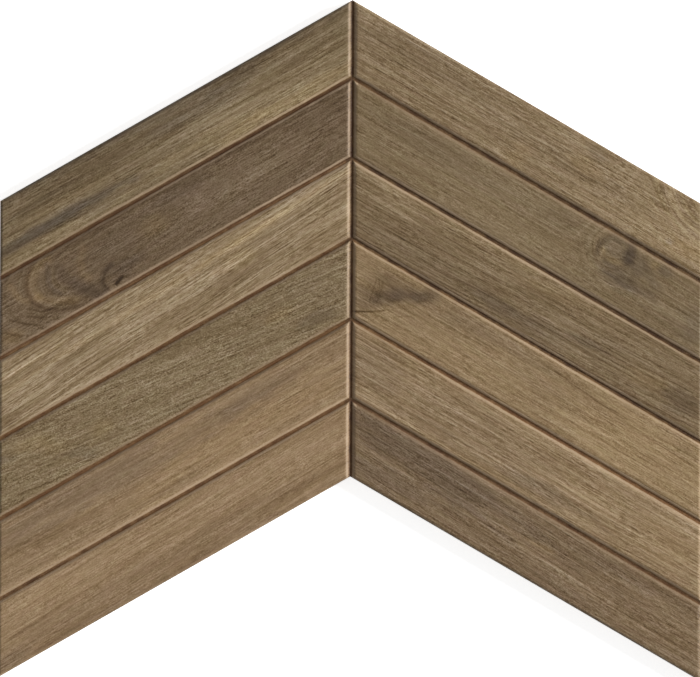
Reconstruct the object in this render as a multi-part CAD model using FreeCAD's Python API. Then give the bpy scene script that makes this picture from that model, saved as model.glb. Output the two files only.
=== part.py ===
"""A chevron wall tile: one pressed, glazed ceramic piece whose face imitates twelve timber planks.

Two mirrored arms slope down from an apex. Each arm carries parallel planks, divided by pressed joints
that are open at the tile's sides and meet a joint on the centre line. The tile lies on its keyed back.
Lengths are in millimetres. +Z is out of the face, +Y is the way the chevron points, and the origin is
the middle of the bounding box at the back of the tile.
"""
import FreeCAD, Part

import os
from math import asin, cos, radians, sin, sqrt, tan

# Plan of the tile
TILE_WIDTH = 300.0
ARM_SLOPE = 30.0
PLANKS_PER_ARM = 6
PLANK_WIDTH = 27.7

# Section through the tile
THICKNESS = 9.0
JOINT_WIDTH = 2.0
JOINT_DEPTH = 1.4
PLANK_ARRIS = 2.0
RIM_ARRIS = 1.5
BACK_CHAMFER = 0.8

# Keying pockets in the back: rows of four-sided pockets that follow the arms, between ribs
KEY_DEPTH = 0.6
KEY_PITCH = 18.0
KEY_RIB = 4.0
KEY_BORDER = 7.0
KEY_DRAFT = 45.0

# How far the cutting shapes run past the tile, so that no two faces coincide
OVERRUN = 2.0

NODE = "chevron_tile"

SLOPE = radians(ARM_SLOPE)
HALF_WIDTH = TILE_WIDTH / 2
ARM_FALL = HALF_WIDTH * tan(SLOPE)
PLANK_PITCH = (PLANK_WIDTH + JOINT_WIDTH) / cos(SLOPE)
ARM_HEIGHT = PLANKS_PER_ARM * PLANK_PITCH - JOINT_WIDTH / cos(SLOPE)
APEX_Y = (ARM_FALL + ARM_HEIGHT) / 2
NOTCH_Y = APEX_Y - ARM_HEIGHT

UP = FreeCAD.Vector(0, 0, 1)


def polygon_face(points):
    """A flat face with straight sides through the points."""
    wire = Part.makePolygon([*points, points[0]])
    return Part.Face(wire)


def chevron_face(inset, z):
    """The tile's outline as a face at height z, with every side moved inwards by inset."""
    reach = HALF_WIDTH - inset
    rise = inset / cos(SLOPE)
    fall = reach * tan(SLOPE)
    apex = APEX_Y - rise
    notch = NOTCH_Y + rise
    outline = [
        (0, apex),
        (reach, apex - fall),
        (reach, notch - fall),
        (0, notch),
        (-reach, notch - fall),
        (-reach, apex - fall),
    ]
    return polygon_face([FreeCAD.Vector(x, y, z) for x, y in outline])


def edges_at(shape, z):
    """The edges of a shape that lie at height z all along."""
    return [e for e in shape.Edges if all(abs(v.Z - z) < 1e-6 for v in e.Vertexes)]


def blank():
    """The tile before its joints are pressed: a rounded arris round the face, a small chamfer at the back."""
    prism = chevron_face(0, 0).extrude(UP * THICKNESS)
    rounded = prism.makeFillet(RIM_ARRIS, edges_at(prism, THICKNESS))
    return rounded.makeChamfer(BACK_CHAMFER, edges_at(rounded, 0))


def joint_section():
    """The section of a joint, across X: a round valley that runs up into two round arrises, open upwards."""
    valley = JOINT_WIDTH / 2
    radii = valley + PLANK_ARRIS
    lip = sqrt(2 * radii * JOINT_DEPTH - JOINT_DEPTH ** 2)
    steepest = asin(lip / radii)
    above = THICKNESS + OVERRUN

    def in_valley(angle):
        return at(valley * sin(angle), THICKNESS - JOINT_DEPTH + valley - valley * cos(angle))

    def on_arris(angle, side):
        return at(side * (lip - PLANK_ARRIS * sin(angle)), THICKNESS - PLANK_ARRIS + PLANK_ARRIS * cos(angle))

    def at(x, z):
        return FreeCAD.Vector(x, 0, z)

    edges = [
        Part.Arc(in_valley(-steepest), in_valley(0), in_valley(steepest)).toShape(),
        Part.Arc(in_valley(steepest), on_arris(steepest / 2, 1), at(lip, THICKNESS)).toShape(),
        Part.LineSegment(at(lip, THICKNESS), at(lip, above)).toShape(),
        Part.LineSegment(at(lip, above), at(-lip, above)).toShape(),
        Part.LineSegment(at(-lip, above), at(-lip, THICKNESS)).toShape(),
        Part.Arc(at(-lip, THICKNESS), on_arris(steepest / 2, -1), in_valley(-steepest)).toShape(),
    ]
    return Part.Face(Part.Wire(edges))


def centre_joint():
    """The joint on the centre line, from below the notch to beyond the apex."""
    section = joint_section()
    section.translate(FreeCAD.Vector(0, NOTCH_Y - OVERRUN, 0))
    return section.extrude(FreeCAD.Vector(0, ARM_HEIGHT + 2 * OVERRUN, 0))


def right_arm_joint(number):
    """Joint of the right arm below plank `number`, counted from the apex, ending at the centre line."""
    past = PLANK_WIDTH
    middle = APEX_Y - number * PLANK_PITCH + JOINT_WIDTH / cos(SLOPE) / 2
    section = joint_section()
    section.translate(FreeCAD.Vector(0, -past, 0))
    bar = section.extrude(FreeCAD.Vector(0, HALF_WIDTH / cos(SLOPE) + 2 * past, 0))
    bar.rotate(FreeCAD.Vector(0, 0, 0), UP, -(90 + ARM_SLOPE))
    bar.translate(FreeCAD.Vector(0, middle, 0))
    length = 2 * TILE_WIDTH
    right_half = Part.makeBox(length, 2 * length, length, FreeCAD.Vector(0, -length, 0))
    return bar.common(right_half)


def joints():
    """Every pressed joint of the face."""
    cutters = [centre_joint()]
    for number in range(1, PLANKS_PER_ARM):
        right = right_arm_joint(number)
        cutters += [right, right.mirror(FreeCAD.Vector(0, 0, 0), FreeCAD.Vector(1, 0, 0))]
    return cutters


def arm_point(x, below, z):
    """A point of the right arm: x from the centre line, and `below` straight down from the upper side."""
    return FreeCAD.Vector(x, APEX_Y - x * tan(SLOPE) - below, z)


def whole_cells(start, end, rib):
    """The span from start to end shared out in whole pockets of about the pitch, with ribs between."""
    count = max(1, round((end - start + rib) / KEY_PITCH))
    step = (end - start + rib) / count
    return [(start + i * step, start + (i + 1) * step - rib) for i in range(count)]


def pocket(across, down):
    """A keying pocket of the right arm with sloping sides, open at the back, between two x and two falls."""
    narrowing = KEY_DEPTH * tan(radians(KEY_DRAFT))
    wires = []
    for inset, z in ((0, 0), (narrowing, KEY_DEPTH)):
        left, right = across[0] + inset, across[1] - inset
        top, bottom = down[0] + inset / cos(SLOPE), down[1] - inset / cos(SLOPE)
        corners = [(left, top), (right, top), (right, bottom), (left, bottom)]
        wires.append(polygon_face([arm_point(x, below, z) for x, below in corners]).OuterWire)
    return Part.makeLoft(wires, True, True)


def keying_pockets():
    """Every pocket of the back, inside a plain border and on both sides of a rib on the centre line."""
    edge = KEY_BORDER / cos(SLOPE)
    columns = whole_cells(KEY_RIB / 2, HALF_WIDTH - KEY_BORDER, KEY_RIB)
    rows = whole_cells(edge, ARM_HEIGHT - edge, KEY_RIB / cos(SLOPE))
    right = [pocket(across, down) for across in columns for down in rows]
    left = [cell.mirror(FreeCAD.Vector(0, 0, 0), FreeCAD.Vector(1, 0, 0)) for cell in right]
    return right + left


def chevron_tile():
    """The finished tile."""
    pressed = blank().cut(joints())
    keyed = pressed.cut(keying_pockets())
    return keyed.Solids[0]


def main():
    tile = chevron_tile()
    os.makedirs("parts", exist_ok=True)
    tile.exportStep(f"parts/{NODE}.step")
    box = tile.optimalBoundingBox(False, False)
    print(f"{NODE}: valid {tile.isValid()}, {len(tile.Faces)} faces, {tile.Volume / 1000:.1f} cm3")
    print(f"size {box.XLength:.2f} x {box.YLength:.2f} x {box.ZLength:.2f}, apex at y {APEX_Y:.3f}")


main()
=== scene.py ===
"""The looks of a chevron wall tile: a pressed ceramic face with twelve wood-look planks, glazed and matte.

The tile is one piece. Its face is a fine grid that carries the pressed joints and the worn relief of the
planks; its sides and keyed back are bare fired body. The printed grain is procedural: each point of the
face knows where it lies along and across the grain of its plank, and the glaze is painted from that.
Lengths are in metres unless a name says mm.
"""
from math import asin, cos, pi, radians, sin, sqrt, tan

import bmesh
import bpy
import numpy as np
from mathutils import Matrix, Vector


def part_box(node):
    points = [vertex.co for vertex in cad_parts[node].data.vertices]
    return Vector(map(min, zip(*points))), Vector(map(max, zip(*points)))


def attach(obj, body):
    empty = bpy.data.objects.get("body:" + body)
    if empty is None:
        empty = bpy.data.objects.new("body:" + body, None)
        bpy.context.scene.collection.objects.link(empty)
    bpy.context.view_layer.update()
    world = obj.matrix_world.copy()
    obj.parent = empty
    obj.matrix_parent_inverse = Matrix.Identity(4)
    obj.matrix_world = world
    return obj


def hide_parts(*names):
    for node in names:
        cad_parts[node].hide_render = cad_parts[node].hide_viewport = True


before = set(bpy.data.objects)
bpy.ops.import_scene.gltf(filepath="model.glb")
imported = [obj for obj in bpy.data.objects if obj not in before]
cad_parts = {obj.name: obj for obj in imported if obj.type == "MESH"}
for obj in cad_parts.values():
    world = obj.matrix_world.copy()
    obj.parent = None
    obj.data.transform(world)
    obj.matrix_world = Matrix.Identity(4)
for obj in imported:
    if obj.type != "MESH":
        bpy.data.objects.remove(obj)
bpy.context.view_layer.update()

MM = 0.001
NODE = "chevron_tile"

# The tile's plan and section, the same as its solid
LOW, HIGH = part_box(NODE)
HALF_WIDTH = (HIGH[0] - LOW[0]) / 2
THICKNESS = HIGH[2] - LOW[2]
SLOPE = radians(30)
PLANKS_PER_ARM = 6
JOINT_WIDTH = 2.0 * MM
JOINT_DEPTH = 1.4 * MM
PLANK_ARRIS = 2.0 * MM
RIM_ARRIS = 1.5 * MM
BACK_CHAMFER = 0.8 * MM
KEY_DEPTH = 0.6 * MM
KEY_PITCH = 18 * MM
KEY_RIB = 4 * MM
KEY_BORDER = 7 * MM
KEY_DRAFT = radians(45)

ARM_HEIGHT = HIGH[1] - LOW[1] - HALF_WIDTH * tan(SLOPE)
ARM_SQUARE = ARM_HEIGHT * cos(SLOPE)
APEX_Y = HIGH[1]
PLANK_WIDTH = (ARM_SQUARE + JOINT_WIDTH) / PLANKS_PER_ARM - JOINT_WIDTH
PLANK_PITCH = PLANK_WIDTH + JOINT_WIDTH

# A joint is a round valley that runs up into two round arrises
VALLEY = JOINT_WIDTH / 2
JOINT_LIP = sqrt(2 * (VALLEY + PLANK_ARRIS) * JOINT_DEPTH - JOINT_DEPTH ** 2)
STEEPEST = asin(JOINT_LIP / (VALLEY + PLANK_ARRIS))

# How finely the face is divided
FACE_ROWS = 42
FACE_COLUMNS = 118
VALLEY_STEPS = 3
ARRIS_STEPS = 4
# A grid line this far outside each arris keeps the arris's shading from running out over the flat face
LIP_MARGIN = 0.1 * MM

# Relief of the planks, all of it pressed into the face and never above it
RELIEF_DEPTH = 0.16 * MM
ARRIS_WANDER = 0.15 * MM

# Lines of the figure fade out this far from their middle, so that neighbours stay apart
MARK_REACH = 1.5

# How far red, green and blue follow the ink, which darkens blue most and red least, the broad patches,
# which are nearly neutral, a warmer tint, an olive one and the red of the joints
INK_REACH = (0.82, 0.97, 1.25)
PATCH_REACH = (0.96, 1.02, 1.0)
WARM_REACH = (0.5, 0.0, -1.5)
OLIVE_REACH = (-0.5, 0.5, -1.0)
JOINT_REACH = (0.0, -0.27, -0.65)


def smoothstep(low, high, value):
    """0 below low, 1 above high, and a smooth rise between."""
    share = np.clip((value - low) / (high - low), 0, 1)
    return share * share * (3 - 2 * share)


def soft_noise(u, v, seed):
    """Smooth random values from -1 to 1 over the plane, one lattice cell to a unit of u and v."""
    lattice = np.random.default_rng(seed).uniform(-1, 1, (64, 64))
    column, row = np.floor(u).astype(int), np.floor(v).astype(int)
    a, b = smoothstep(0, 1, u - column), smoothstep(0, 1, v - row)

    def corner(right, down):
        return lattice[(row + down) % 64, (column + right) % 64]

    top = corner(0, 0) * (1 - a) + corner(1, 0) * a
    bottom = corner(0, 1) * (1 - a) + corner(1, 1) * a
    return top * (1 - b) + bottom * b


def linear(colour):
    """A colour of three 0 to 255 screen values as the linear values that a shader takes."""
    screen = np.asarray(colour) / 255
    return np.where(screen <= 0.04045, screen / 12.92, ((screen + 0.055) / 1.055) ** 2.4)


def shader_colour(colour):
    """A screen colour as a linear colour with alpha."""
    return (*linear(colour), 1.0)


# The planks

# Each plank's figure, read off the photo. Places are (s, c) in mm: s along the plank from its left
# end, and c across it, down from its upper edge.
#   tone     mean colour of the plank
#   slope    fall of the grain across the plank for each mm along it
#   weights  strength of the broad streaks, the fine lines and the flecks
#   rings    centre, reach left and right for each mm of reach up or down, how far the rings govern, the
#            ring that is lightest, the spacing of the light rings and how much they differ
#   patches  centre, half length, half width, turn in degrees, how much lighter it is and how much warmer
#   bands    points along the middle, half width, how much lighter it is and how much warmer
#   marks    points of a thin line, its half width, and how dark it is, or below 0 how light
LEFT_PLANKS = [
    dict(
        tone=(113, 96, 71), slope=0.01, weights=(1.35, 1.3, 1.3), rings=[], bands=[],
        patches=[
            # These two bands along the upper rim are dark print made darker with painted shade, on the rim that
            # faces away from the light.
            ((80, 1.5), 130, 3.4, 0, -0.64, 0),
            ((86, 0.2), 130, 1.6, 0, -0.70, 0),
            ((38, 8), 52, 4.5, 0, -0.32, 0.02),
            ((82, 7), 13, 3.2, 0, -0.45, 0),
            ((106, 5.5), 14, 2.2, 0, -0.40, 0),
            ((108, 8), 28, 4.5, 0, -0.42, -0.01),
            ((106, 21.5), 44, 4.5, 0, 0.24, 0),
            ((48, 21.5), 13, 3.4, 0, -0.16, -0.03),
            ((20, 8.5), 13, 1.2, 0, -0.45, 0.04),
            ((28, 13.3), 28, 1.8, 0, 0.22, 0),
            ((25, 19.2), 46, 2.7, 0, -0.75, -0.05),
            ((26, 19), 19, 1.9, 0, -0.35, -0.05),
            ((28, 25), 42, 3.5, 0, 0.20, 0.02),
            ((145, 19), 62, 10, 0, 0.26, 0),
            ((150, 25), 44, 4, 0, 0.38, 0.03),
        ],
        marks=[
            (((16, 6.2), (40, 6.4)), 0.35, 0.4),
            (((74, 11.6), (90, 11.2)), 0.35, 0.4),
            (((64, 2.6), (84, 2.6)), 0.35, 0.4),
            (((132, 4.6), (152, 4.2)), 0.35, 0.3),
        ],
    ),
    dict(
        tone=(101, 83, 62), slope=0.0, weights=(1.0, 1.2, 1.7),
        rings=[((37, 12), 1.6, 8.0, 130, 11.6, 5.4, 0.05)],
        bands=[
            (((23.4, 1.9), (17.6, 3.1), (15.4, 5.8), (15.4, 8.4), (16.5, 11.1), (18.8, 14)), 2.6, 0.36, 0.05),
            (((18.8, 14), (22.2, 16.5), (26.9, 19.2), (32.3, 20.7), (37.5, 23)), 2.0, 0.32, 0.05),
            (((5, 4), (7, 7), (9.6, 10.5), (13.7, 13.4)), 1.8, 0.40, 0.04),
            (((23, 3.5), (23.7, 5.8), (24.1, 9.2), (24.6, 11.9), (26.9, 15), (30.2, 17.6)), 1.2, -0.34, -0.05),
            (((28.5, 7), (30.9, 11), (34.3, 15), (39.3, 19.5), (44.8, 23), (49.3, 26.5)), 2.8, -0.42, 0),
            (((38, 17), (43, 21), (49, 24.5)), 3.2, -0.26, -0.03),
            (((41, 6), (39.8, 10), (40.6, 14), (43.9, 18)), 2.0, 0.20, 0.06),
            (((54.9, 17.3), (52.4, 18.4), (51, 19.9), (50.5, 22.3), (52.6, 25.3)), 1.5, -0.70, 0.0),
        ],
        patches=[
            ((100, 1), 90, 2.4, 0, -0.35, 0.05),
            ((55.5, 25.5), 1.6, 1.5, 0, 0.20, -0.02),
            ((62, 21.5), 10, 3.5, 0, -0.20, -0.05),
            ((55, 12), 16, 10, 0, -0.14, -0.02),
            ((76, 12), 8, 4, 0, 0.14, 0.06),
            ((90, 4.5), 16, 3, 0, -0.25, 0),
            ((80, 6), 22, 4, 0, -0.12, 0),
            ((135, 15), 34, 5, 0, 0.20, -0.02),
            ((5, 23.5), 7, 4, 0, 0.22, 0.09),
            ((160, 6), 16, 4, 0, -0.12, 0),
        ],
        marks=[
            (((80, 9.8), (92, 10)), 0.3, 0.3),
            (((100, 16.5), (113, 16)), 0.3, 0.3),
            (((130, 7), (156, 10.5), (165, 16), (170, 19)), 0.4, 0.3),
            (((53.6, 17.5), (51.2, 19.8), (50.9, 22), (52.2, 24.5), (54.6, 27)), 0.6, 0.45),
            (((92, 24), (101, 22.5), (105.3, 20.5), (98.7, 18.5), (90.4, 18)), 0.3, 0.35),
            (((57.4, 25.6), (60.4, 24.3)), 0.7, 2.4),
            (((56.2, 22.8), (62.5, 22.2)), 0.35, -0.6),
            (((63.2, 25.6), (66.8, 25.4)), 0.5, 0.5),
            (((14.5, 16.5), (20.4, 20), (27.4, 21.5), (36.2, 22)), 0.5, 0.75),
            (((30.8, 24), (37.5, 24.3)), 0.4, 0.6),
            (((37.6, 26.2), (41.4, 26.7)), 0.4, 0.6),
            (((13.6, 18.9), (21, 22.5), (26.7, 24.2)), 0.5, 0.7),
            (((5.8, 17), (12.1, 21), (20.4, 25)), 0.5, 0.7),
            (((3, 20.5), (9, 24), (15, 26.5)), 0.5, 0.6),
            (((27.7, 19.3), (34.5, 19)), 0.4, -0.4),
        ],
    ),
    dict(
        tone=(140, 120, 92), slope=-0.045, weights=(1.4, 1.5, 0.85), rings=[], bands=[],
        patches=[
            ((86, 8), 95, 1.7, -3, 0.28, 0),
            ((14, 7), 22, 1.3, -2, 0.25, 0),
            ((122, 5.8), 26, 2.6, -2, 0.13, 0.02),
            ((75, 22), 48, 2.8, -1, -0.32, 0.06),
            ((122, 17.5), 26, 4.5, 0, -0.22, 0.02),
            ((4, 23.5), 8, 4, 0, -0.33, 0.05),
            ((145, 4.3), 30, 1.6, -3, 0.12, 0.02),
            ((140, 9.5), 34, 1.2, -2, -0.35, 0.05),
            ((162, 20), 16, 6, 0, -0.30, 0.08),
            ((118, 13), 14, 3.6, 0, 0.20, 0.02),
            ((162, 6), 12, 3.4, 0, 0.14, -0.03),
            ((34, 14), 14, 5, 0, -0.09, 0),
        ],
        marks=[
            (((36, 3.9), (60, 3.2)), 0.35, 0.4),
            (((48, 12.6), (86, 11.4)), 0.35, 0.3),
            (((130, 19.5), (152, 18)), 0.35, 0.4),
            (((140, 24), (170, 21)), 0.35, 0.4),
        ],
    ),
    dict(
        tone=(121, 103, 76), slope=0.12, weights=(0.75, 1.05, 2.2), rings=[], bands=[],
        patches=[
            ((3, 8), 7, 2, 20, -0.35, -0.03),
            ((41, 21.5), 8, 3, 24, -0.20, -0.06),
            ((28, 17.5), 9, 1.9, 24, -0.14, 0),
            ((89, 25.5), 9, 1.6, 10, -0.14, 0),
            ((157, 21.5), 12, 4, 5, -0.32, -0.03),
            ((18, 8), 9, 4, 10, 0.13, 0.05),
            ((50, 16), 7, 4, 10, 0.05, 0.06),
            ((138, 12), 7, 3, 10, 0.10, 0.06),
            ((110, 3), 70, 3, 0, -0.12, 0.02),
            ((33, 18), 13, 5, 20, 0.11, 0.02),
            ((148, 6), 26, 4, 0, -0.08, 0),
            ((30, 13.5), 10, 3, 0, 0.10, 0),
            ((122, 14), 12, 3, 0, -0.10, 0),
            ((160, 13), 16, 9, 0, -0.10, 0),
        ],
        marks=[
            (((0, 15.5), (14, 17.2)), 0.5, 0.3),
            (((0, 20.5), (12, 22)), 0.5, 0.3),
            (((5, 23.5), (26, 25.5)), 0.6, 0.4),
            (((1, 26.3), (12, 26.6)), 0.5, 0.4),
        ],
    ),
    dict(
        tone=(134, 111, 83), slope=0.01, weights=(0.55, 0.75, 1.0), rings=[], bands=[],
        patches=[
            ((50, 7), 80, 8, 2, -0.26, -0.04),
            ((86, 27), 100, 2.2, 0, 0.25, -0.03),
            ((30, 17), 26, 5, 8, -0.18, 0.03),
            ((86, 7), 20, 5, 0, 0.12, 0.04),
            ((10, 14), 14, 7, 0, -0.09, 0.02),
            ((128, 7), 26, 4, 0, -0.12, -0.03),
            ((120, 18), 66, 9, 0, 0.12, 0.04),
            ((160, 25), 14, 4, 0, 0.20, -0.03),
            ((150, 5), 34, 3, 0, -0.10, 0),
        ],
        marks=[
            (((107, 6.2), (113, 8.2), (120, 9.5)), 0.3, 0.3),
            (((86, 18.4), (94, 19.4)), 0.3, 0.3),
            (((4, 17.5), (6.5, 20), (5, 23)), 0.3, -0.2),
            (((11.7, 18.5), (13, 16), (18.4, 18), (22.3, 23)), 0.3, -0.2),
            (((26.5, 20.5), (30.5, 24.5)), 0.3, -0.2),
            (((32, 15.8), (36, 19), (37, 22.5)), 0.3, -0.2),
            (((52, 22), (53, 25)), 0.3, -0.2),
        ],
    ),
    dict(
        tone=(139, 115, 86), slope=-0.03, weights=(0.75, 0.75, 0.95), rings=[], bands=[],
        patches=[
            ((14, 7), 16, 5, 0, 0.19, -0.04),
            ((26, 6), 24, 4, 0, 0.10, 0),
            ((18, 15.3), 26, 0.9, -4, -0.45, 0.08),
            ((42, 12.3), 34, 1.1, -4, 0.20, -0.04),
            ((6, 24), 12, 4, 0, -0.30, -0.04),
            ((75, 21), 100, 6, 0, -0.22, 0.0),
            ((150, 23), 26, 5, 0, -0.20, 0.04),
            ((110, 8), 60, 5, 0, 0.10, -0.02),
            # A band along the lower rim, darker as painted shade that damps the light on this rim.
            ((86, 27.2), 130, 2.4, 0, -0.36, 0),
        ],
        marks=[
            (((118, 18), (146, 17.4), (172, 16.5)), 0.35, 0.35),
            (((62, 11), (84, 11)), 0.35, 0.3),
        ],
    ),
]

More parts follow.
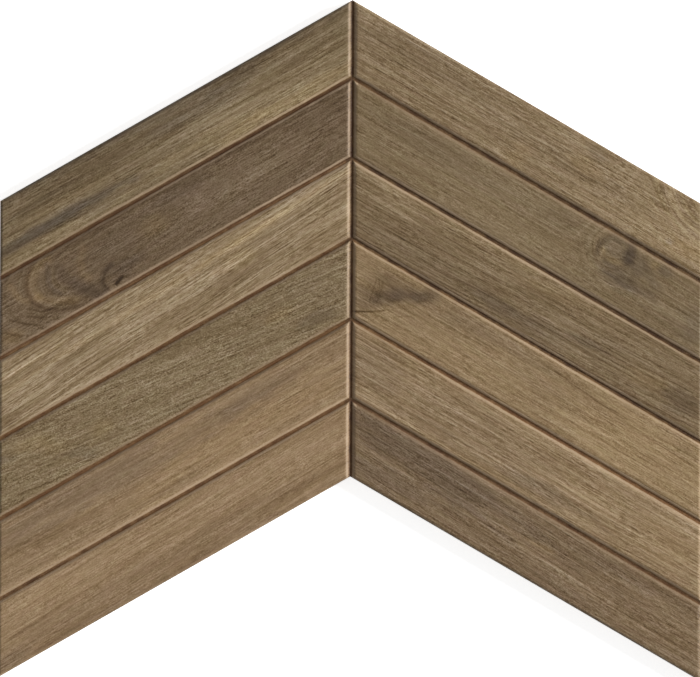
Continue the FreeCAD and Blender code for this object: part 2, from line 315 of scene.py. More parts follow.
RIGHT_PLANKS = [
    dict(
        tone=(132, 112, 84), slope=0.0, weights=(0.65, 1.3, 1.2),
        rings=[((184, -6), 1.6, 1.6, 42, 14.0, 3.4, 0.12)], bands=[],
        patches=[
            ((30, 8), 50, 9, 0, -0.12, -0.02),
            ((45, 16), 85, 14, 0, -0.12, 0),
            ((115.6, 11), 10, 3.4, 0, 0.02, 0.07),
            ((156.9, 21), 1.6, 1.5, 0, -0.10, -0.12),
            ((82, 22), 6, 6, 0, 0.05, 0.06),
            ((158, 15), 34, 16, 0, 0.16, 0.01),
            ((86, 0.2), 130, 1.4, 0, -0.28, 0),
            ((165, 20), 12, 5, -10, 0.08, 0.05),
            ((120.5, 4.5), 6, 3, 15, -0.24, -0.02),
            ((40, 14), 30, 5, 0, 0.07, 0.02),
            ((118, 13), 34, 5, 0, -0.08, -0.01),
            ((118, 23), 20, 3, 0, 0.08, 0),
        ],
        marks=[
            (((150.3, 3.7), (151, 6.1), (152.8, 8.5), (154.8, 9.9)), 0.5, 0.6),
            (((151.6, 2.1), (154.9, 5.5), (156.4, 7.1), (158.8, 8.7), (161.5, 11), (165.6, 12.2)), 0.45, 0.6),
            (((146.3, 0.9), (148.3, 2.9), (149.6, 4.9)), 0.45, 0.5),
            (((160.5, 2.1), (162, 4.5)), 0.5, 0.5),
            (((164.4, 7.3), (168.6, 8.5)), 0.45, 0.5),
            (((132.5, 0.9), (134.4, 3.3)), 0.4, 0.4),
            (((127.5, 1.2), (129.5, 3.2)), 0.4, 0.35),
            (((109, 15.2), (121.5, 15.8)), 0.4, 0.45),
            (((36, 17.6), (79, 17.4)), 0.35, 0.4),
            (((78, 15.2), (108, 15)), 0.35, 0.4),
            (((59, 21.7), (63.5, 21.7)), 0.3, -0.35),
        ],
    ),
    dict(
        tone=(117, 99, 73), slope=0.0, weights=(0.7, 0.85, 1.1),
        rings=[((129, 5), 1.0, 1.4, 15, 5.6, 3.6, 0.10)],
        bands=[
            (((138.1, 0.8), (136.7, 6.3)), 2.6, -0.85, -0.04),
            (((133.9, 1.5), (129.7, 1.5), (127.1, 2.7), (124.5, 5), (123.9, 6.6)), 1.5, -0.50, -0.04),
            (((134, 7.6), (142, 9.5)), 2.0, -0.45, 0),
            (((124, 16.4), (150.4, 16.6)), 0.9, -0.30, 0),
            (((122.8, 6.6), (121.4, 9.2), (120.8, 11.5)), 1.1, -0.36, -0.03),
            (((124.6, 7), (123.7, 10), (123.1, 12)), 1.1, 0.26, 0.04),
        ],
        patches=[
            ((141, 4.5), 6.5, 4, 10, -0.46, -0.03),
            ((133.8, 15.8), 16, 4.6, 0, -0.45, -0.04),
            ((148, 10), 8, 3.5, 35, -0.22, -0.02),
            ((154.2, 3.8), 4.4, 2.8, 0, -0.34, -0.05),
            ((150, 3.2), 2.2, 2.4, 0, 0.15, 0.08),
            ((130, 5.5), 6, 3.6, 0, -0.28, -0.01),
            ((129.3, 10.7), 4, 1.6, 0, 0.22, 0.06),
            ((106, 14), 4, 6, 25, 0.12, 0),
            ((75, 20), 60, 8, 0, 0.12, 0),
            ((40, 7), 36, 5, 0, -0.14, -0.01),
            ((170, 17), 9, 9, 0, -0.22, -0.04),
            ((134, 12), 13, 7, 0, -0.24, -0.02),
            ((104, 6), 12, 4, 0, -0.12, 0),
            ((162, 21), 16, 4, 0, -0.13, 0),
            ((118, 21), 12, 4, 0, -0.10, 0),
        ],
        marks=[
            (((11, 21), (20, 16), (38, 13.5), (52, 10)), 0.5, 0.15),
            (((126.5, 3.6), (124.2, 6), (123.6, 7.5)), 0.4, 0.4),
            (((121.8, 6), (120.8, 8.2), (120.2, 10.8), (120.7, 11.9)), 0.45, 0.5),
            (((120.5, 6.5), (117.7, 10), (115.9, 14), (116.3, 16)), 0.5, 0.35),
            (((124.7, 7.3), (123.4, 9.5), (122.6, 12)), 0.5, -0.3),
            (((126.4, 20.1), (130.3, 19.6)), 0.35, -0.7),
            (((135.6, 18), (138.3, 17.8)), 0.3, -0.6),
            (((115.9, 20), (126.3, 20)), 0.4, -0.3),
        ],
    ),
    dict(
        tone=(116, 97, 71), slope=-0.03, weights=(0.95, 1.3, 1.1), rings=[], bands=[],
        patches=[
            ((60, 1.5), 90, 2.6, 0, 0.20, 0),
            ((85, 5), 80, 5, 0, 0.10, 0),
            ((20, 6), 16, 4, 0, 0.12, 0),
            ((50, 22), 80, 7, 0, -0.18, 0),
            ((72, 21.5), 17, 3.2, 0, -0.22, -0.05),
            ((116, 16.5), 14, 2.2, -4, -0.37, -0.03),
            ((163, 18), 9, 6, 0, -0.28, -0.04),
            ((146, 17), 11, 4, -5, 0.13, 0.04),
            ((100, 5), 22, 2.5, -6, 0.07, 0.03),
            ((130, 12), 10, 3, 0, -0.13, 0),
            ((92, 21), 14, 4, 0, -0.26, 0.01),
            ((30, 19), 15, 6, 0, -0.14, 0.02),
        ],
        marks=[
            (((24, 14), (56, 14)), 0.35, 0.4),
            (((32, 21.7), (56, 21.6)), 0.35, 0.4),
            (((84, 9), (96, 7.3), (108, 6)), 0.35, 0.3),
            (((124, 7.6), (142, 8.2)), 0.35, 0.3),
            (((106, 24), (116, 22.5), (126, 19)), 0.35, 0.3),
        ],
    ),
    dict(
        tone=(135, 113, 83), slope=0.0, weights=(0.5, 0.9, 1.0), rings=[],
        bands=[
            (((41, 1.4), (33.7, 6.2), (27, 8), (21.3, 11), (16.5, 14), (13.5, 16)), 3.6, -0.70, -0.01),
            (((17.4, 8), (11, 13), (8.6, 18)), 4.4, -0.40, 0.04),
            (((30, 3.5), (18, 7.5), (9, 10)), 3.2, -0.20, 0.02),
        ],
        patches=[
            ((33.8, 5.6), 5, 1.8, -30, -0.34, -0.02),
            ((22.3, 11), 4, 2, -30, -0.38, 0),
            ((20.4, 11.5), 7, 4, -25, -0.26, -0.03),
            ((26, 6), 12, 4, 0, -0.12, -0.02),
            ((95, 13.5), 22, 4, 0, -0.13, 0),
            ((4, 20), 8, 6, 0, -0.24, -0.04),
            ((30, 10), 45, 12, 0, -0.12, 0),
            ((68, 5), 34, 4.5, 0, -0.18, -0.03),
            ((112, 5.4), 26, 1.5, 3, -0.36, 0.05),
            ((50, 19), 42, 7, 0, 0.06, 0),
            ((145, 16), 44, 16, 0, 0.20, 0.01),
        ],
        marks=[
            (((1.1, 25.5), (5.2, 23.9), (9.5, 22)), 0.4, 1.6),
            (((9.5, 22), (12.9, 20.4), (16.2, 18.6)), 0.4, 1.0),
            (((33, 7.9), (36.5, 6.6)), 0.6, 0.6),
            (((20.8, 12.6), (24.2, 11.6)), 0.6, 0.6),
            (((15.4, 8.5), (15.2, 11), (13.9, 14), (12.4, 17.5)), 0.4, 0.5),
            (((12.3, 9), (11, 13), (9.1, 18)), 0.4, 0.5),
            (((21.4, 18.7), (29.3, 15)), 0.4, 0.35),
            (((84, 2.2), (107, 4.8), (124, 6.5), (137, 7.5)), 0.35, 0.4),
            (((137, 8), (168, 9.5)), 0.35, 0.35),
        ],
    ),
    dict(
        tone=(137, 115, 86), slope=0.0, weights=(0.75, 1.2, 0.9), rings=[], bands=[],
        patches=[
            ((10, 13), 18, 12, 0, -0.10, -0.04),
            ((50, 22), 34, 3, 0, -0.20, 0),
            ((60, 14), 45, 10, 0, -0.06, -0.03),
            ((100, 17.6), 26, 1.2, 0, 0.22, -0.04),
            ((160, 14), 22, 12, 0, 0.05, 0.03),
            ((98, 21), 26, 4, 0, -0.36, -0.03),
            ((120, 13), 16, 4, 0, 0.13, 0),
        ],
        marks=[
            (((32, 14.7), (55, 14.7)), 0.35, 0.5),
            (((74, 16.2), (104, 15.6)), 0.35, 0.4),
            (((18, 21.8), (50, 21.7)), 0.35, 0.4),
            (((94, 17.6), (118, 17.2)), 0.3, -0.25),
            (((118, 22), (134, 20), (148, 16)), 0.35, 0.3),
        ],
    ),
    dict(
        tone=(115, 95, 71), slope=0.02, weights=(0.72, 1.25, 1.3), rings=[], bands=[],
        patches=[
            ((40, 7), 66, 9, 4, -0.36, -0.06),
            ((70, 13), 30, 5, 0, 0.12, 0),
            ((95, 18), 40, 4, 0, 0.17, -0.02),
            ((150, 14), 34, 10, 0, 0.14, 0.02),
            ((96, 12), 7, 1.3, -6, 0.20, 0.08),
            ((135, 5), 30, 3, 0, -0.20, 0),
            ((16, 21), 24, 5, 0, -0.18, -0.04),
            ((91, 13), 14, 3.6, 0, 0.18, 0.02),
            ((140, 14), 20, 6, 0, -0.11, 0),
            ((100, 23), 26, 3, 0, -0.12, 0),
        ],
        marks=[
            (((70, 17.4), (84, 17.8), (100, 17), (118, 17.4)), 0.3, -0.3),
            (((30, 14.6), (52, 15)), 0.35, 0.35),
            (((24, 22), (40, 21.5)), 0.35, 0.3),
        ],
    ),
]

# Each joint's colour, read off the photo: how dark its valley is and how pale its arrises are, from
# 0 to 1, at its left end and at its right end
# How dark the valleys are: dark print, made darker on the right arm's joints with painted shade.
# How pale the arrises are is partly the glaze's own colour and partly painted highlight and painted shade.
LEFT_JOINTS = [
    ((0.55, 0.55), (0.35, 0.85)),
    ((0.35, 0.35), (0.25, 0.75)),
    ((0.25, 0.4), (0.35, 0.45)),
    ((0.15, 0.25), (0.3, 0.3)),
    ((0.75, 0.3), (0.45, 0.75)),
]
RIGHT_JOINTS = [
    ((0.7, 0.95), (0.15, 0.35)),
    ((0.9, 0.85), (0.6, 0.45)),
    ((0.9, 0.85), (0.45, 0.6)),
    ((0.5, 0.0), (0.4, 0.65)),
    ((0.65, 0.5), (0.15, 0.3)),
]
CENTRE_JOINT = (0.75, 0.53)
# How much paler the arrises above the right joints are than those below them: painted light on these arrises,
# which face away from the light
RIGHT_UPPER_PAINTED_LIGHT = 0.42


# Geometry

def joint_places():
    """Distances of the grid lines from a joint's centre line, out to its lip and just beyond."""
    valley = VALLEY * np.sin(np.linspace(0, STEEPEST, VALLEY_STEPS + 1))
    arris = JOINT_LIP - PLANK_ARRIS * np.sin(np.linspace(STEEPEST, 0, ARRIS_STEPS + 1))
    return np.concatenate([valley, arris[1:], [JOINT_LIP + LIP_MARGIN]])


def rim_places():
    """Distances of the grid lines from the tile's outline, in to just beyond where the face is flat."""
    arris = RIM_ARRIS * (1 - np.cos(np.linspace(0, pi / 2, ARRIS_STEPS + 1)))
    return np.append(arris, RIM_ARRIS + LIP_MARGIN)


def row_places():
    """Distances of the grid's rows from the upper side, measured square to it."""
    places = list(rim_places())
    for number in range(1, PLANKS_PER_ARM + 1):
        last = number == PLANKS_PER_ARM
        middle = number * PLANK_PITCH - VALLEY
        end = ARM_SQUARE - rim_places()[-1] if last else middle - joint_places()[-1]
        places += list(np.linspace(places[-1], end, FACE_ROWS + 1)[1:])
        if last:
            places += list(ARM_SQUARE - rim_places()[::-1][1:])
        else:
            places += list(middle - joint_places()[::-1][1:])
            places += list(middle + joint_places()[1:])
    return np.array(places)


def column_places():
    """Distances of the grid's columns from the centre line, on both sides of it."""
    right = list(joint_places()[1:])
    right += list(np.linspace(right[-1], HALF_WIDTH - rim_places()[-1], FACE_COLUMNS + 1)[1:])
    right += list(HALF_WIDTH - rim_places()[::-1][1:])
    return np.array([-x for x in right[::-1]] + [0.0] + right)


def joint_drop(distance):
    """How far the face lies below its level at a distance from a joint's centre line."""
    away = np.clip(np.abs(distance), 0, JOINT_LIP)
    in_valley = JOINT_DEPTH - VALLEY + np.sqrt(np.maximum(VALLEY ** 2 - away ** 2, 0))
    on_arris = PLANK_ARRIS - np.sqrt(PLANK_ARRIS ** 2 - np.minimum(JOINT_LIP - away, PLANK_ARRIS) ** 2)
    return np.where(away < VALLEY * sin(STEEPEST), in_valley, on_arris)


def rim_drop(distance):
    """How far the face lies below its level at a distance from the tile's outline."""
    inwards = np.clip(RIM_ARRIS - distance, 0, RIM_ARRIS)
    return RIM_ARRIS - np.sqrt(RIM_ARRIS ** 2 - inwards ** 2)


def plan_y(x, below):
    """The y of a point at x, `below` straight down from the arms' upper sides."""
    return APEX_Y - np.abs(x) * tan(SLOPE) - below


def plank_places(x, square):
    """For points of the face: the plank's number, s and c in mm, and the distance along the grain in mm."""
    number = np.clip((square + VALLEY) // PLANK_PITCH, 0, PLANKS_PER_ARM - 1).astype(int)
    c = (square - number * PLANK_PITCH) / MM
    right = x > 0
    s = np.where(right, x, x + HALF_WIDTH) / cos(SLOPE) / MM
    along = s + np.where(right, 1, -1) * c * tan(SLOPE)
    return number, s, c, along


def true_along(place, side):
    """The distance along the grain, in mm, of a place (s, c); side is 1 for a right plank, -1 for a left."""
    s, c = place
    return s + side * c * tan(SLOPE)


def grain_flow(plank, side, along, c, seed):
    """Across-grain places of each point in mm, along the wood's figure and along its straight fibres, the
    light of its rings and how far its lines curl round them."""
    drift = 1.3 * soft_noise(along / 45, c / 22, seed) + 0.35 * soft_noise(along / 12, c / 7, seed + 1)
    level = c - plank["slope"] * (along - 80)
    flow = level + drift
    fibre = level + 0.35 * drift
    light = np.zeros(along.shape)
    curl = np.zeros(along.shape)
    for centre, left, right, reach, lightest, spacing, strength in plank["rings"]:
        da = along - true_along(centre, side)
        dc = c - centre[1]
        ring = np.hypot(da / np.where(da < 0, left, right), dc)
        share = 1 - smoothstep(reach * 0.8, reach * 1.2, np.hypot(da, dc))
        flow = flow * (1 - share) + (ring + drift * 0.3) * share
        near = 1 - smoothstep(1.4 * lightest, 2.2 * lightest, ring + 0.12 * np.abs(da))
        near = near * smoothstep(0.3 * lightest, 0.6 * lightest, ring)
        uneven = drift + 1.2 * soft_noise(along / 16, c / 10, seed + 2)
        waves = np.cos(2 * pi * (ring + uneven - lightest) / spacing)
        light = light + strength * waves * share * near
        curl = curl + share * near
    return flow, fibre, light, curl


def patch_share(place, half_length, half_width, turn, side, along, c, seed):
    """How strongly a soft-edged patch covers each point, from 0 to 1."""
    da = along - true_along(place, side)
    dc = c - place[1]
    angle = radians(turn)
    lengthways = (da * cos(angle) + dc * sin(angle)) / half_length
    crossways = (dc * cos(angle) - da * sin(angle)) / half_width
    ragged = 0.3 * soft_noise(along / 6, c / 1.6, seed) + 0.2 * soft_noise(along / 20, c / 3, seed + 1)
    return 1 - smoothstep(0.35, 1.25, np.hypot(lengthways, crossways) + ragged)


def from_stretch(start, end, side, along, c):
    """How far each point lies past the ends of a straight stretch, and how far to one side of it."""
    a0, c0 = true_along(start, side), start[1]
    run = np.array([true_along(end, side) - a0, end[1] - c0])
    length = np.hypot(*run)
    run = run / length
    lengthways = (along - a0) * run[0] + (c - c0) * run[1]
    crossways = (c - c0) * run[0] - (along - a0) * run[1]
    beyond = np.maximum(np.maximum(-lengthways, lengthways - length), 0)
    return beyond, crossways


def band_share(points, half_width, side, along, c, seed):
    """How strongly a soft-edged band covers each point, from 0 to 1."""
    nearest = np.full(along.shape, np.inf)
    for start, end in zip(points[:-1], points[1:]):
        nearest = np.minimum(nearest, np.hypot(*from_stretch(start, end, side, along, c)))
    ragged = 0.2 * soft_noise(along / 4, c / 1.4, seed)
    return 1 - smoothstep(0.2, 1.4, nearest / half_width + ragged)


def mark_fields(marks, side, along, c):
    """Signed distance from the nearest thin line, in its half widths, and how dark it is there."""
    offset = np.full(along.shape, 99.0)
    depth = np.zeros(along.shape)
    nearest = np.full(along.shape, MARK_REACH)
    for points, half_width, strength in marks:
        for start, end in zip(points[:-1], points[1:]):
            beyond, crossways = from_stretch(start, end, side, along, c)
            distance = np.hypot(beyond, crossways)
            closer = distance < nearest
            nearest = np.where(closer, distance, nearest)
            offset = np.where(closer, crossways / half_width, offset)
            depth = np.where(closer, strength * (1 - smoothstep(0, MARK_REACH, beyond)), depth)
    return offset, depth


def joint_looks(x, number, s, c):
    """How dark the valley is and how pale the arrises are of the joint nearest to each point."""
    looks = np.tile(CENTRE_JOINT, (x.size, 1))
    nearest = np.where(c < PLANK_WIDTH / MM / 2, number - 1, number)
    share = s / (HALF_WIDTH / cos(SLOPE) / MM)
    for on_side, joints in ((x < -JOINT_LIP, LEFT_JOINTS), (x > JOINT_LIP, RIGHT_JOINTS)):
        for index, ends in enumerate(joints):
            here = on_side & (nearest == index)
            looks[here] = np.column_stack([left + (right - left) * share[here] for left, right in ends])
    # Painted light: the arrises above the right joints, which face away from the light, are made paler
    looks[(x > JOINT_LIP) & (nearest == number), 1] += RIGHT_UPPER_PAINTED_LIGHT
    return looks


def face_fields(x, square):
    """What the glaze needs to know at each point of the face, by name."""
    number, s, c, along = plank_places(x, square)
    count = x.size
    fields = {
        "grain": np.zeros((count, 3)),
        "fibre": np.zeros((count, 3)),
        "tone": np.zeros((count, 4)),
        "figure": np.zeros((count, 3)),
        "mark": np.zeros((count, 3)),
    }
    for side, planks in ((-1, LEFT_PLANKS), (1, RIGHT_PLANKS)):
        on_side = (x > 0) if side == 1 else (x <= 0)
        for index, plank in enumerate(planks):
            here = on_side & (number == index)
            seed = 100 + 20 * index + (7 if side == 1 else 0)
            a, cc = along[here], c[here]
            flow, fibre, light, curl = grain_flow(plank, side, a, cc, seed)
            doublings = light[:, None] * (np.array(PATCH_REACH) + 0.15 * np.array(OLIVE_REACH))
            shapes = [(patch_share, *patch) for patch in plank["patches"]]
            shapes += [(band_share, *band) for band in plank["bands"]]
            for order, (share_of, *shape, lighter, warmer) in enumerate(shapes):
                share = share_of(*shape, side, a, cc, seed + order)
                change = lighter * np.array(PATCH_REACH) + warmer * np.array(WARM_REACH)
                doublings = doublings + share[:, None] * change
            tone = linear(plank["tone"]) * 2 ** doublings
            offset, depth = mark_fields(plank["marks"], side, a, cc)
            layer = np.full(a.size, seed * 1.7)
            fields["grain"][here] = np.column_stack([a, flow, layer])
            fields["fibre"][here] = np.column_stack([a, fibre, layer])
            fields["tone"][here] = np.column_stack([tone, np.ones(a.size)])
            fields["figure"][here] = plank["weights"]
            fields["mark"][here] = np.column_stack([offset, depth, curl])
    return fields


def face_heights(x, square, fields):
    """Height of the face, and how far each point lies down in a joint, both in metres."""
    number, s, c, along = plank_places(x, square)
    side = np.where(x > 0, 20.0, 0.0)
    drops = [joint_drop(x)]
    for edge, middle in ((0, c * MM + VALLEY), (1, PLANK_WIDTH - c * MM + VALLEY)):
        line = number + edge + side
        wander = soft_noise(s / 7, line, 5) + 0.5 * soft_noise(s / 2.2, line, 6)
        moved = middle + ARRIS_WANDER * wander * np.clip(middle / JOINT_LIP, 0, 1)
        at_rim = number == edge * (PLANKS_PER_ARM - 1)
        drops.append(np.where(at_rim, 0, joint_drop(moved)))
    pressed = np.maximum.reduce(drops)
    outline = np.minimum(HALF_WIDTH - np.abs(x), np.minimum(square, ARM_SQUARE - square))
    drop = np.maximum(pressed, rim_drop(outline))
    flow = fields["grain"][:, 1]
    seeds = fields["grain"][:, 2]
    relief = 0.55 + 0.45 * soft_noise(along / 16 + seeds, flow / 2.4, 11)
    relief = 0.6 * relief + 0.4 * (0.5 + 0.5 * soft_noise(along / 7 + seeds, flow / 1.3, 12))
    level = 1 - smoothstep(0.3 * JOINT_DEPTH, 0.8 * JOINT_DEPTH, drop)
    height = THICKNESS - drop - RELIEF_DEPTH * relief * level
    return height, pressed


def whole_cells(start, end, rib):
    """The span from start to end shared out in whole pockets of about the pitch, with ribs between."""
    count = max(1, round((end - start + rib) / KEY_PITCH))
    step = (end - start + rib) / count
    return [(start + i * step, start + (i + 1) * step - rib) for i in range(count)]


def pocket_edges(cells, narrowing):
    """Places of the grid lines across a row of pockets, and 1 where the line is on a pocket's floor."""
    places, sunk = [], []
    for low, high in cells:
        places += [low, low + narrowing, high - narrowing, high]
        sunk += [0, 1, 1, 0]
    return places, sunk


def add_grid(mesh, points):
    """Adds a grid of points (rows, columns, 3) with its faces to a bmesh, and returns the vertices."""
    rows, columns = points.shape[:2]
    verts = [[mesh.verts.new(points[r, k]) for k in range(columns)] for r in range(rows)]
    for r in range(rows - 1):
        for k in range(columns - 1):
            mesh.faces.new((verts[r][k], verts[r + 1][k], verts[r + 1][k + 1], verts[r][k + 1]))
    return verts


def border_of(verts):
    """The vertices round a grid, in order."""
    top = verts[0]
    right = [row[-1] for row in verts[1:]]
    bottom = verts[-1][-2::-1]
    left = [row[0] for row in verts[-2:0:-1]]
    return top + right + bottom + left


def inset_place(x, below, inset):
    """A place on the outline moved inwards by inset, all round."""
    upright = inset / cos(SLOPE)
    moved_x = x * (HALF_WIDTH - inset) / HALF_WIDTH
    moved_below = upright + below * (ARM_HEIGHT - 2 * upright) / ARM_HEIGHT
    return moved_x, moved_below


def add_face(mesh):
    """The glazed face as a grid, and the fields of its points."""
    columns = column_places()
    squares = row_places()
    x = np.tile(columns, squares.size)
    square = np.repeat(squares, columns.size)
    fields = face_fields(x, square)
    height, pressed = face_heights(x, square, fields)
    number, s, c, along = plank_places(x, square)
    fields["joint"] = np.column_stack([pressed / JOINT_DEPTH, joint_looks(x, number, s, c)])
    points = np.column_stack([x, plan_y(x, square / cos(SLOPE)), height])
    return add_grid(mesh, points.reshape(squares.size, columns.size, 3)), fields


def add_sides(mesh, rim):
    """The walls below the face's border and the chamfer at the back; returns the lowest ring of vertices."""
    places = [(v.co.x, APEX_Y - abs(v.co.x) * tan(SLOPE) - v.co.y) for v in rim]
    level = rim
    for inset, z in ((0, 0.66 * THICKNESS), (0, 0.33 * THICKNESS), (0, BACK_CHAMFER), (BACK_CHAMFER, 0)):
        lower = []
        for place in places:
            px, pb = inset_place(*place, inset)
            lower.append(mesh.verts.new((px, plan_y(px, pb), z)))
        for i in range(len(level)):
            j = (i + 1) % len(level)
            mesh.faces.new((level[i], level[j], lower[j], lower[i]))
        level = lower
    return level


def add_back(mesh, chamfer_foot):
    """The back: a lattice of keying pockets that follow the arms, and the plain border round it."""
    narrowing = KEY_DEPTH * tan(KEY_DRAFT)
    edge = KEY_BORDER / cos(SLOPE)
    column_cells = whole_cells(KEY_RIB / 2, HALF_WIDTH - KEY_BORDER, KEY_RIB)
    row_cells = whole_cells(edge, ARM_HEIGHT - edge, KEY_RIB / cos(SLOPE))
    right_x, right_sunk = pocket_edges(column_cells, narrowing)
    key_rows, row_sunk = pocket_edges(row_cells, narrowing / cos(SLOPE))
    key_columns = [-px for px in right_x[::-1]] + [0.0] + right_x
    column_sunk = right_sunk[::-1] + [0] + right_sunk
    back = np.zeros((len(key_rows), len(key_columns), 3))
    for r, pb in enumerate(key_rows):
        for k, px in enumerate(key_columns):
            back[r, k] = (px, plan_y(px, pb), KEY_DEPTH * row_sunk[r] * column_sunk[k])
    lattice_border = border_of(add_grid(mesh, back))
    ring_edges = []
    for loop in (chamfer_foot, lattice_border):
        for i in range(len(loop)):
            ring_edges.append(mesh.edges.get((loop[i], loop[(i + 1) % len(loop)])))
    bmesh.ops.triangle_fill(mesh, use_beauty=True, use_dissolve=False, edges=ring_edges)


def store_fields(data, fields):
    """Writes the fields to the mesh as attributes; points that aren't on the face get zeros."""
    kinds = {"grain": "FLOAT_VECTOR", "fibre": "FLOAT_VECTOR", "tone": "FLOAT_COLOR",
             "figure": "FLOAT_VECTOR", "mark": "FLOAT_VECTOR", "joint": "FLOAT_VECTOR"}
    keys = {"FLOAT_VECTOR": "vector", "FLOAT_COLOR": "color"}
    for name, kind in kinds.items():
        values = fields[name].reshape(len(fields[name]), -1)
        full = np.zeros((len(data.vertices), values.shape[1]))
        full[:len(values)] = values
        attribute = data.attributes.new(name, kind, "POINT")
        attribute.data.foreach_set(keys[kind], full.ravel())


def build_tile():
    """The whole tile as one closed mesh, with the data that the glaze reads."""
    mesh = bmesh.new()
    face_verts, fields = add_face(mesh)
    glazed = len(mesh.faces)
    add_back(mesh, add_sides(mesh, border_of(face_verts)))
    bmesh.ops.recalc_face_normals(mesh, faces=mesh.faces)
    mesh.faces.ensure_lookup_table()
    for index, face in enumerate(mesh.faces):
        face.smooth = index < glazed
        face.material_index = 0 if index < glazed else 1
    open_edges = sum(1 for e in mesh.edges if len(e.link_faces) != 2)
    print(f"tile: {sum(len(f.verts) - 2 for f in mesh.faces)} triangles, {open_edges} open edges")
    data = bpy.data.meshes.new("chevron_tile_glazed")
    mesh.to_mesh(data)
    mesh.free()
    store_fields(data, fields)
    piece = bpy.data.objects.new("chevron_tile_glazed", data)
    bpy.context.scene.collection.objects.link(piece)
    return piece


# Materials

class Graph:
    """A material's node tree, with short ways to add the nodes that the finishes are made of."""

    def __init__(self, name):
        self.material = bpy.data.materials.new(name)
        self.material.use_nodes = True
        self.tree = self.material.node_tree
        self.tree.nodes.clear()

    def node(self, kind, **settings):
        made = self.tree.nodes.new(kind)
        for key, value in settings.items():
            setattr(made, key, value)
        return made

    def feed(self, socket, value):
        """Links an output to a socket, or sets the socket to a plain value."""
        if isinstance(value, bpy.types.NodeSocket):
            self.tree.links.new(value, socket)
        else:
            socket.default_value = value

    def math(self, operation, first, second=0.0, third=0.0):
        made = self.node("ShaderNodeMath", operation=operation)
        for socket, value in zip(made.inputs, (first, second, third)):
            self.feed(socket, value)
        return made.outputs[0]

    def total(self, terms):
        """The sum of value times weight over the terms."""
        result = 0.0
        for value, weight in terms:
            result = self.math("MULTIPLY_ADD", value, weight, result)
        return result

    def attribute(self, name, output="Fac"):
        return self.node("ShaderNodeAttribute", attribute_name=name).outputs[output]

    def parts(self, vector):
        made = self.node("ShaderNodeSeparateXYZ")
        self.feed(made.inputs[0], vector)
        return made.outputs

    def stretched(self, vector, along, across):
        """The grain vector scaled so that one unit is `along` mm by `across` mm."""
        made = self.node("ShaderNodeVectorMath", operation="MULTIPLY")
        self.feed(made.inputs[0], vector)
        made.inputs[1].default_value = (1 / along, 1 / across, 1)
        return made.outputs[0]

    def noise(self, vector, detail=0.0, roughness=0.5, scale=1.0):
        """Noise from about -1 to 1 with features one unit across."""
        made = self.node("ShaderNodeTexNoise")
        self.feed(made.inputs["Vector"], vector)
        made.inputs["Scale"].default_value = scale
        made.inputs["Detail"].default_value = detail
        made.inputs["Roughness"].default_value = roughness
        return self.math("MULTIPLY_ADD", made.outputs["Fac"], 4.0, -2.0)

    def rise(self, value, low, high, start=0.0, end=1.0):
        """A smooth change from start to end as the value goes from low to high."""
        made = self.node("ShaderNodeMapRange", interpolation_type="SMOOTHSTEP")
        for name, setting in (("Value", value), ("From Min", low), ("From Max", high),
                              ("To Min", start), ("To Max", end)):
            self.feed(made.inputs[name], setting)
        return made.outputs[0]

    def mix(self, share, first, second, blend="MIX"):
        made = self.node("ShaderNodeMix", data_type="RGBA", blend_type=blend)
        self.feed(made.inputs["Factor"], share)
        self.feed(made.inputs[6], first)
        self.feed(made.inputs[7], second)
        return made.outputs[2]

    def shaded(self, colour, doublings, reach):
        """The colour with each channel's light doubled as often as `doublings` times its reach says."""
        scale = self.node("ShaderNodeCombineXYZ")
        for socket, share in zip(scale.inputs, reach):
            self.feed(socket, self.math("POWER", 2.0, self.math("MULTIPLY", doublings, share)))
        made = self.node("ShaderNodeVectorMath", operation="MULTIPLY")
        self.feed(made.inputs[0], colour)
        self.feed(made.inputs[1], scale.outputs[0])
        return made.outputs[0]

    def finish(self, colour, roughness, specular, height, height_mm):
        """Ends the tree in a shader with a bump."""
        bump = self.node("ShaderNodeBump")
        bump.inputs["Strength"].default_value = 1.0
        bump.inputs["Distance"].default_value = height_mm * MM
        self.feed(bump.inputs["Height"], height)
        shader = self.node("ShaderNodeBsdfPrincipled")
        self.feed(shader.inputs["Base Color"], colour)
        self.feed(shader.inputs["Roughness"], roughness)
        shader.inputs["Specular IOR Level"].default_value = specular
        self.feed(shader.inputs["Normal"], bump.outputs[0])
        output = self.node("ShaderNodeOutputMaterial")
        self.feed(output.inputs["Surface"], shader.outputs[0])
        return self.material


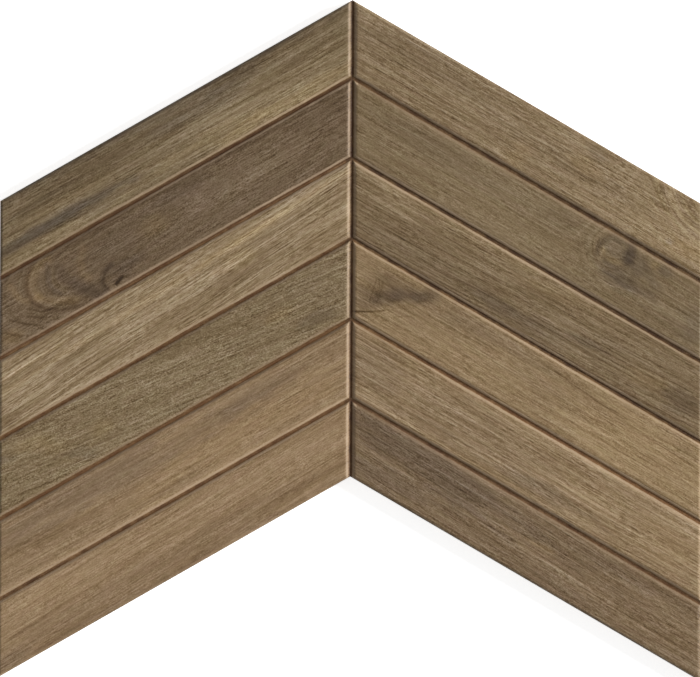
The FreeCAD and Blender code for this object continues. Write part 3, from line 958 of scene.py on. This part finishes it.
def glaze_material():
    """Matte wood-look glaze: printed streaks, lines and flecks along the grain, arrises partly pale glaze and
    partly painted highlight and shade, dark joints with some painted shade.
    """
    g = Graph("wood_look_glaze")
    grain = g.attribute("grain", "Vector")
    fibre = g.attribute("fibre", "Vector")
    streak_weight, line_weight, fleck_weight = g.parts(g.attribute("figure", "Vector"))
    offset, depth, curl = g.parts(g.attribute("mark", "Vector"))
    pressed, dark, pale = g.parts(g.attribute("joint", "Vector"))

    streak = g.math("MULTIPLY", g.noise(g.stretched(grain, 64, 4.2), 3.0, 0.55), streak_weight)
    line = g.math("MULTIPLY", g.noise(g.stretched(fibre, 48, 0.95), 1.0, 0.9), line_weight)
    fleck = g.math("MULTIPLY", g.noise(g.stretched(fibre, 4.0, 1.8), 3.0, 0.68), fleck_weight)
    hair = g.math("MULTIPLY", g.noise(g.stretched(fibre, 3.8, 0.6), 1.0, 0.6), line_weight)
    grit = g.math("MULTIPLY", g.noise(g.stretched(fibre, 0.8, 0.65), 1.0, 0.8), fleck_weight)
    ring = g.math("MULTIPLY", g.noise(g.stretched(grain, 30, 1.2), 1.0, 0.7), curl)
    line = g.math("MULTIPLY", line, g.math("MULTIPLY_ADD", curl, -0.5, 1.0))
    lively = g.rise(g.noise(g.stretched(fibre, 16, 6)), -0.6, 0.6, 0.8, 1.2)
    fine = g.total([(line, 0.5), (fleck, 0.27), (hair, 0.46), (grit, 0.42), (ring, 0.45)])
    fine = g.math("MULTIPLY", fine, lively)
    fine = g.math("MULTIPLY_ADD", g.math("MULTIPLY", fine, fine), -0.22, fine)

    worn = g.math("ADD", g.math("ABSOLUTE", offset), g.math("MULTIPLY", g.math("ABSOLUTE", hair), 1.1))
    mark = g.math("MULTIPLY", g.rise(worn, 0.3, 2.0, 1.0, 0.0), depth)
    pore = g.rise(hair, 0.55, 0.95)
    # Painted shade: the print is darkened a little just outside each joint's lip, to damp the light caught where
    # the arris begins
    painted_lip_shade = g.math("MULTIPLY", g.rise(pressed, 0.0, 0.015), g.rise(pressed, 0.03, 0.12, 1.0, 0.0))
    ink = g.total([(streak, 0.46), (fine, 1.0), (mark, -1.2), (pore, -0.15), (painted_lip_shade, -0.06)])
    colour = g.shaded(g.attribute("tone", "Color"), ink, INK_REACH)
    olive = g.math("MULTIPLY", g.noise(g.stretched(grain, 12, 2.6), 3.0, 0.7), 0.05)
    colour = g.shaded(colour, olive, OLIVE_REACH)

    # Painted highlight and painted shade: the arrises are mixed towards a colour paler or darker than the plank.
    # This is partly the glaze's own colour at its break and partly light and shade, set joint by joint.
    arris = g.math("MULTIPLY", g.rise(pressed, 0.06, 0.22), g.rise(pressed, 0.5, 0.85, 1.0, 0.0))
    arris = g.math("MULTIPLY", arris, g.rise(streak, -0.6, 0.6, 0.4, 0.62))
    edge = g.mix(pale, shader_colour((87, 66, 46)), shader_colour((211, 186, 158)))
    colour = g.mix(arris, colour, edge)
    # The valleys are dark print; their extra darkness on the right arm's joints is painted shade.
    valley = g.mix(dark, shader_colour((94, 67, 45)), shader_colour((36, 17, 4)))
    place = g.node("ShaderNodeTexCoord").outputs["Object"]
    patchy = g.rise(g.noise(place, 2.0, 0.7, 1 / (7 * MM)), -0.8, 0.8, 0.55, 0.9)
    deep = g.rise(pressed, g.math("MULTIPLY_ADD", dark, 0.1, 0.56), 0.92)
    colour = g.mix(g.math("MULTIPLY", deep, patchy), colour, valley)
    colour = g.shaded(colour, g.rise(pressed, 0.6, 0.95), JOINT_REACH)

    height = g.total([(fleck, 0.4), (line, 0.3), (hair, 0.3), (pore, -0.5), (mark, -0.5)])
    return g.finish(colour, g.rise(line, -1.0, 1.0, 0.44, 0.56), 0.2, height, 0.12)


def body_material():
    """Bare fired body of the sides and back, with the glaze's ragged lower edge and chalky ribs."""
    g = Graph("fired_body")
    place = g.node("ShaderNodeTexCoord").outputs["Object"]
    height = g.parts(place)[2]

    def grit(size, detail=2.0):
        return g.noise(place, detail, 0.5, 1 / (size * MM))

    grain = grit(0.9, 3.0)
    clay = g.mix(g.rise(grit(30), -1.0, 1.0), shader_colour((172, 152, 128)), shader_colour((188, 170, 146)))
    clay = g.mix(g.rise(grain, 0.5, 1.2, 0.0, 0.5), clay, shader_colour((120, 98, 78)))
    clay = g.mix(g.rise(grain, -1.2, -0.6, 0.5, 0.0), clay, shader_colour((214, 202, 184)))

    facing = g.parts(g.node("ShaderNodeNewGeometry").outputs["Normal"])[2]
    rib = g.math("MULTIPLY", g.rise(facing, -0.95, -0.8, 1.0, 0.0), g.rise(height, 0.05 * MM, 0.3 * MM, 1.0, 0.0))
    chalk = g.math("MULTIPLY", rib, g.rise(grit(3), -1.1, 0.4, 0.2, 0.75))
    clay = g.mix(chalk, clay, shader_colour((222, 216, 206)))

    run = g.math("MULTIPLY_ADD", grit(5), 0.5 * MM, height)
    edge = g.mix(g.rise(grit(2), -1.0, 1.0), shader_colour((96, 76, 58)), shader_colour((126, 104, 80)))
    glazed = g.rise(run, 6.3 * MM, 7.0 * MM)
    colour = g.mix(glazed, clay, edge)
    return g.finish(colour, g.math("MULTIPLY_ADD", glazed, -0.3, 0.85), 0.2, grain, 0.06)


# Studio

CAMERA_LENS = 400
CAMERA_SENSOR = 36
# The photograph's frame: how much of its width the tile takes, how far it is turned and moved
TILE_IN_FRAME = 703 / 700
CAMERA_TURN = radians(0.3)
CAMERA_SHIFT = (-0.36 * MM, 0.5 * MM)
FLOOR_SIZE = 30.0
SUN_AZIMUTH = radians(9)
SUN_HEIGHT = radians(30)
SUN_SOFTNESS = radians(16)
SKY_SHARE = 0.26
FLOOR_GLOW = 0.77


def add_camera():
    """Looks straight down on the face, framed as in the photograph, where it fills the picture's width."""
    data = bpy.data.cameras.new("camera")
    data.lens = CAMERA_LENS
    data.sensor_width = CAMERA_SENSOR
    data.clip_end = 100
    camera = bpy.data.objects.new("camera", data)
    distance = 2 * HALF_WIDTH / TILE_IN_FRAME * CAMERA_LENS / CAMERA_SENSOR
    camera.location = (*CAMERA_SHIFT, THICKNESS + distance)
    camera.rotation_euler = (0, 0, CAMERA_TURN)
    bpy.context.scene.collection.objects.link(camera)
    bpy.context.scene.camera = camera


def seen_directly(tree):
    """1 for rays from the camera, off gloss or through glass, and 0 for the rays that carry light."""
    path = tree.nodes.new("ShaderNodeLightPath")
    seen = path.outputs["Is Camera Ray"]
    for name in ("Is Glossy Ray", "Is Transmission Ray"):
        either = tree.nodes.new("ShaderNodeMath")
        either.operation = "MAXIMUM"
        tree.links.new(seen, either.inputs[0])
        tree.links.new(path.outputs[name], either.inputs[1])
        seen = either.outputs[0]
    return seen


def add_light():
    """One soft sun from the right, and an even pale sky; together they light the face at unit level."""
    sun = bpy.data.lights.new("key", "SUN")
    sun.energy = (1 - SKY_SHARE) * pi / sin(SUN_HEIGHT)
    sun.angle = SUN_SOFTNESS
    lamp = bpy.data.objects.new("key", sun)
    lamp.rotation_euler = (0, pi / 2 - SUN_HEIGHT, SUN_AZIMUTH)
    bpy.context.scene.collection.objects.link(lamp)

    world = bpy.data.worlds.new("studio")
    bpy.context.scene.world = world
    world.use_nodes = True
    tree = world.node_tree
    tree.nodes.clear()
    strength = tree.nodes.new("ShaderNodeMapRange")
    tree.links.new(seen_directly(tree), strength.inputs["Value"])
    strength.inputs["To Min"].default_value = SKY_SHARE
    strength.inputs["To Max"].default_value = 1.0
    background = tree.nodes.new("ShaderNodeBackground")
    background.inputs["Color"].default_value = (1, 1, 1, 1)
    tree.links.new(strength.outputs[0], background.inputs["Strength"])
    output = tree.nodes.new("ShaderNodeOutputWorld")
    tree.links.new(background.outputs[0], output.inputs["Surface"])


def add_floor():
    """A plain white floor: paper white to the camera, with the tile's own soft shadow left on it."""
    g = Graph("floor")
    diffuse = g.node("ShaderNodeBsdfDiffuse")
    diffuse.inputs["Color"].default_value = (0.8, 0.8, 0.8, 1)
    glow = g.node("ShaderNodeEmission")
    g.feed(glow.inputs["Strength"], g.math("MULTIPLY", seen_directly(g.tree), FLOOR_GLOW))
    both = g.node("ShaderNodeAddShader")
    g.feed(both.inputs[0], diffuse.outputs[0])
    g.feed(both.inputs[1], glow.outputs[0])
    output = g.node("ShaderNodeOutputMaterial")
    g.feed(output.inputs["Surface"], both.outputs[0])

    half = FLOOR_SIZE / 2
    data = bpy.data.meshes.new("floor")
    corners = [(-half, -half), (half, -half), (half, half), (-half, half)]
    data.from_pydata([(x, y, -0.02 * MM) for x, y in corners], [], [(0, 1, 2, 3)])
    data.materials.append(g.material)
    floor = bpy.data.objects.new("floor", data)
    bpy.context.scene.collection.objects.link(floor)


def main():
    bpy.context.scene.view_settings.view_transform = "Standard"
    tile = build_tile()
    tile.data.materials.append(glaze_material())
    tile.data.materials.append(body_material())
    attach(tile, "root")
    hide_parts(NODE)
    add_camera()
    add_light()
    add_floor()


main()
